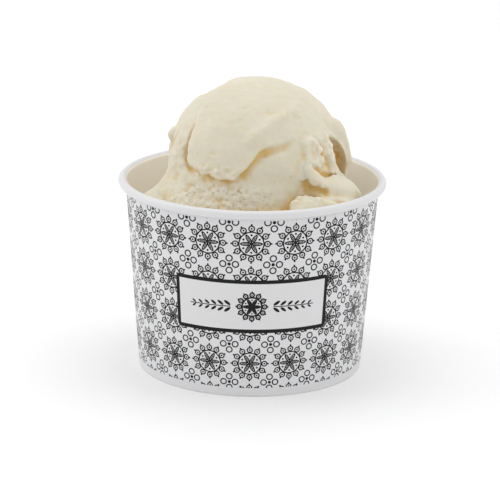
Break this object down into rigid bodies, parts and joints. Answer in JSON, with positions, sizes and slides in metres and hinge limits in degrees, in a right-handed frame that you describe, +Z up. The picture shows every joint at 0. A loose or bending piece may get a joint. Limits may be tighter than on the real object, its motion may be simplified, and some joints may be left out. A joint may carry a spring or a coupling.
{
  "type": "gelato cup",
  "caption": "Paper cup with a rolled rim, filled with vanilla ice cream under one large rounded scoop.",
  "frame": {"origin": "centre of the foot ring, on the surface that the cup stands on", "axes": "+Z up through the middle of the cup, -Y towards the front of the scoop, +X to its right"},
  "size_m": [0.09, 0.09, 0.099],
  "materials": {
    "printed_paper": "coated white board with black print",
    "plain_paper": "coated white board",
    "ice_cream": "matte, slightly translucent ice cream"
  },
  "bodies": {
    "root": {"cup_wall": "printed_paper", "cup_base": "plain_paper", "scoop_top": "ice_cream", "scoop_lower": "ice_cream"}
  },
  "joints": []
}
